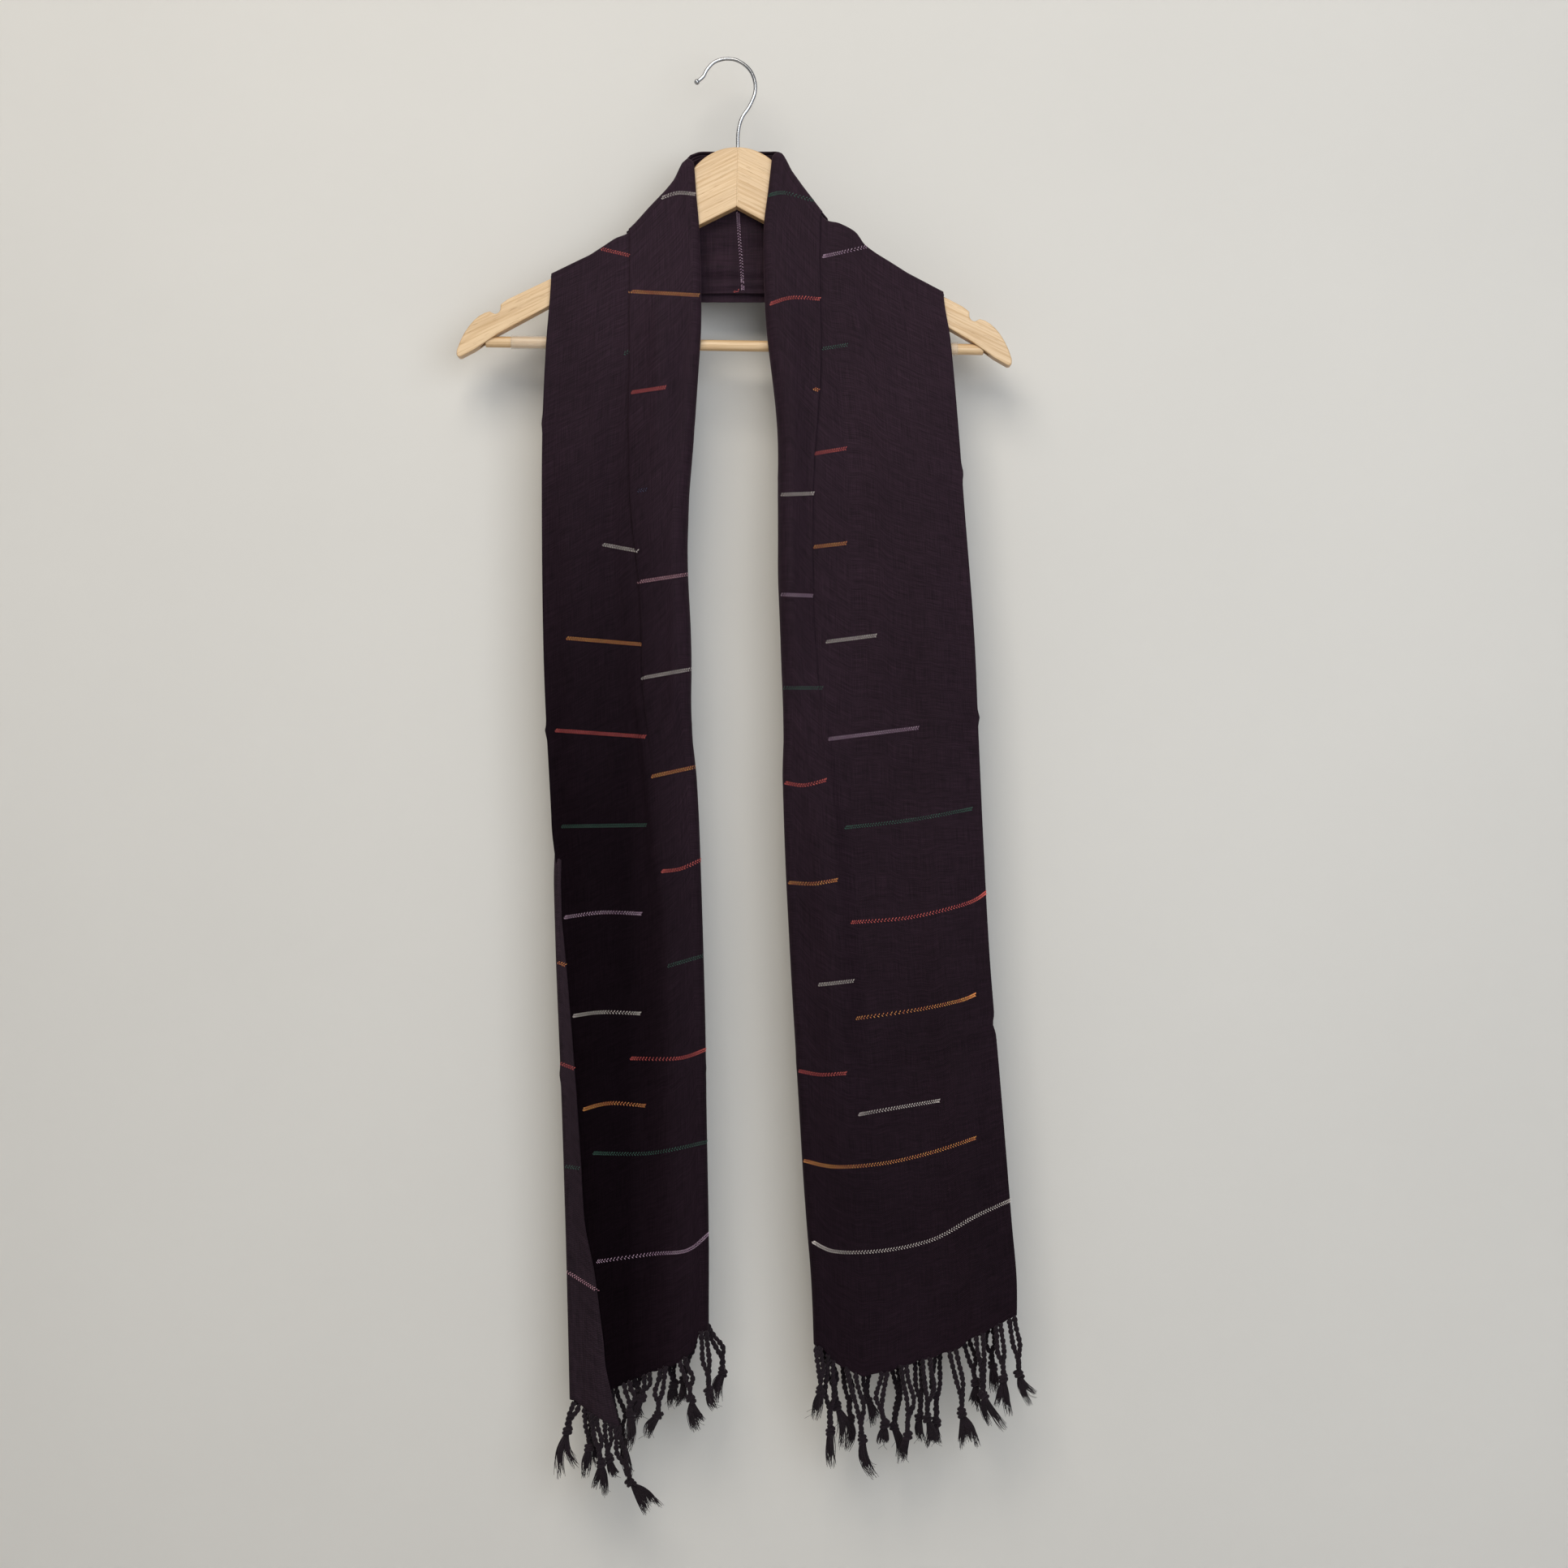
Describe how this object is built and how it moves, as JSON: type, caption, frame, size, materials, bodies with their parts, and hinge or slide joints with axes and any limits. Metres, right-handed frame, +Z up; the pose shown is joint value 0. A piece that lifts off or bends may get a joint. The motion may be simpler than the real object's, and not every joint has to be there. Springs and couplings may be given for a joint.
{
  "type": "stole on a wooden hanger",
  "caption": "Dark handwoven stole with coloured dash stripes and knotted fringe, draped like a shawl collar over a flat wooden hanger with a wire hook.",
  "frame": {"origin": "underside of the hook's crown, where the hanger rests on a rail or peg", "axes": "+Z up along the hanging stole, +X to the viewer's right along the hanger, -Y towards the viewer"},
  "size_m": [0.458, 0.0407, 1.1584],
  "materials": {
    "beech_wood": "pale varnished beech with fine grain",
    "clear_sleeve": "thin clear anti-slip vinyl tube",
    "steel_wire": "bright plated steel wire",
    "twill_face": "fine near-black aubergine twill with a soft sheen",
    "twill_reverse": "greyer, duller reverse of the twill",
    "fringe_yarn": "twisted two-ply warp cords ending in frayed tufts",
    "stripe_thread": "coloured extra-weft threads in white, orange, coral, pink, lilac, green and blue"
  },
  "bodies": {
    "root": {"hanger_arm_left": "beech_wood", "hanger_arm_right": "beech_wood", "hanger_bar": "beech_wood", "bar_sleeve_left": "clear_sleeve", "bar_sleeve_right": "clear_sleeve", "hanger_hook": "steel_wire", "stole_end_left": "twill_face", "stole_end_right": "twill_face", "collar_roll_left": "twill_face", "collar_roll_right": "twill_face", "turned_flap_left": "twill_reverse", "neck_back_outer": "twill_face", "neck_back_inner": "twill_face", "collar_back": "twill_face", "fringe_right_front": "fringe_yarn", "fringe_right_back": "fringe_yarn", "fringe_left_flap": "fringe_yarn", "fringe_left_front": "fringe_yarn", "fringe_left_back": "fringe_yarn"}
  },
  "joints": []
}
